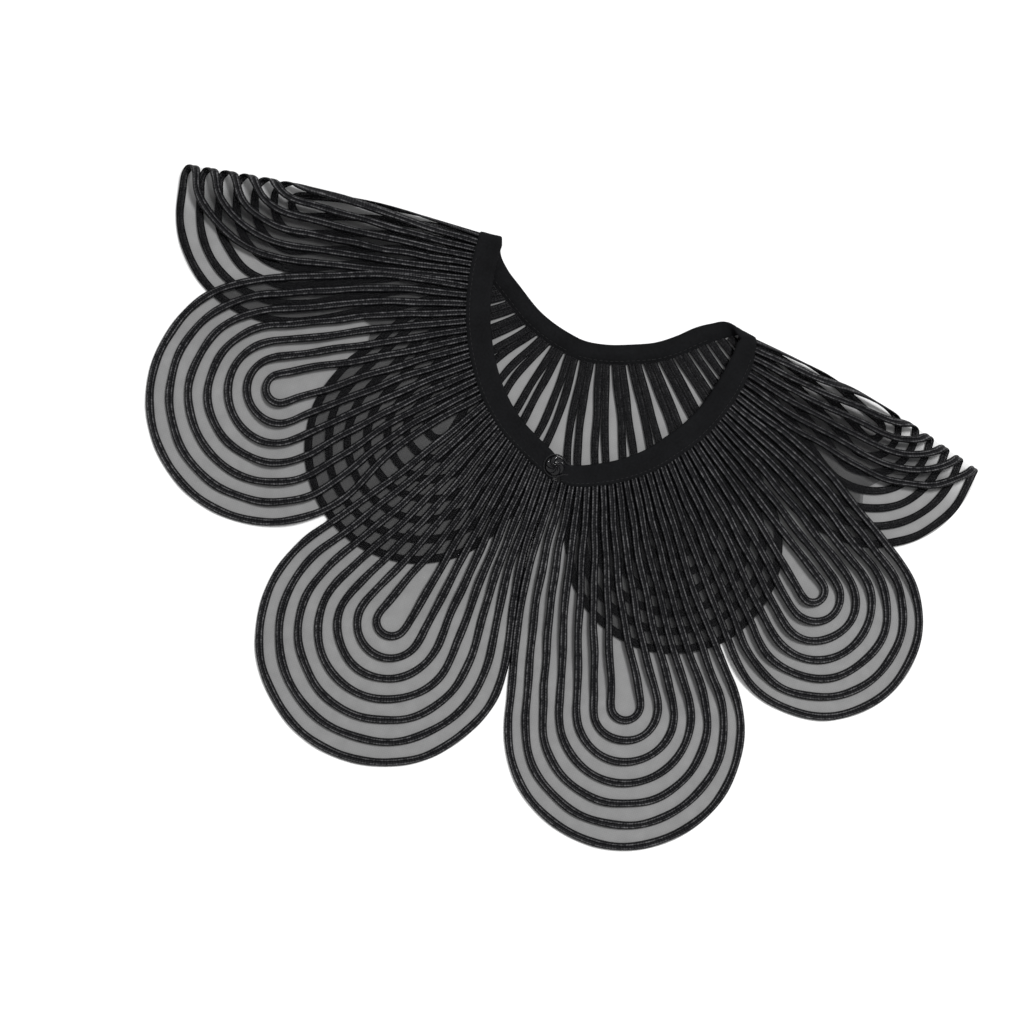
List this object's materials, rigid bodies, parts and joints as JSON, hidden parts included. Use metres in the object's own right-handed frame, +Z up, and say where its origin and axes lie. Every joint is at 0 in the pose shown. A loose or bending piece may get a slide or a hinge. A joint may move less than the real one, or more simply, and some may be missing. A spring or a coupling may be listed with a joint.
{
  "type": "false collar",
  "caption": "Sheer organza false collar with rounded petals of nested sewn braid, a bias neckband, and a button and loop at the front, laid flat with the front up.",
  "frame": {"origin": "middle of the collar's bounding box, on the surface it lies on", "axes": "+X to the right as the picture shows it, across both shoulders; +Y from the centre front towards the back neck; +Z up, out of the front"},
  "size_m": [0.3966, 0.2508, 0.0091],
  "materials": {
    "organza_ground": "sheer organza with sewn flat braid",
    "neckband": "matt bias strip",
    "button": "polished",
    "button_loop": "thread"
  },
  "bodies": {
    "root": {"organza_ground": "organza_ground", "neckband": "neckband", "button": "button", "button_loop": "button_loop"}
  },
  "joints": []
}
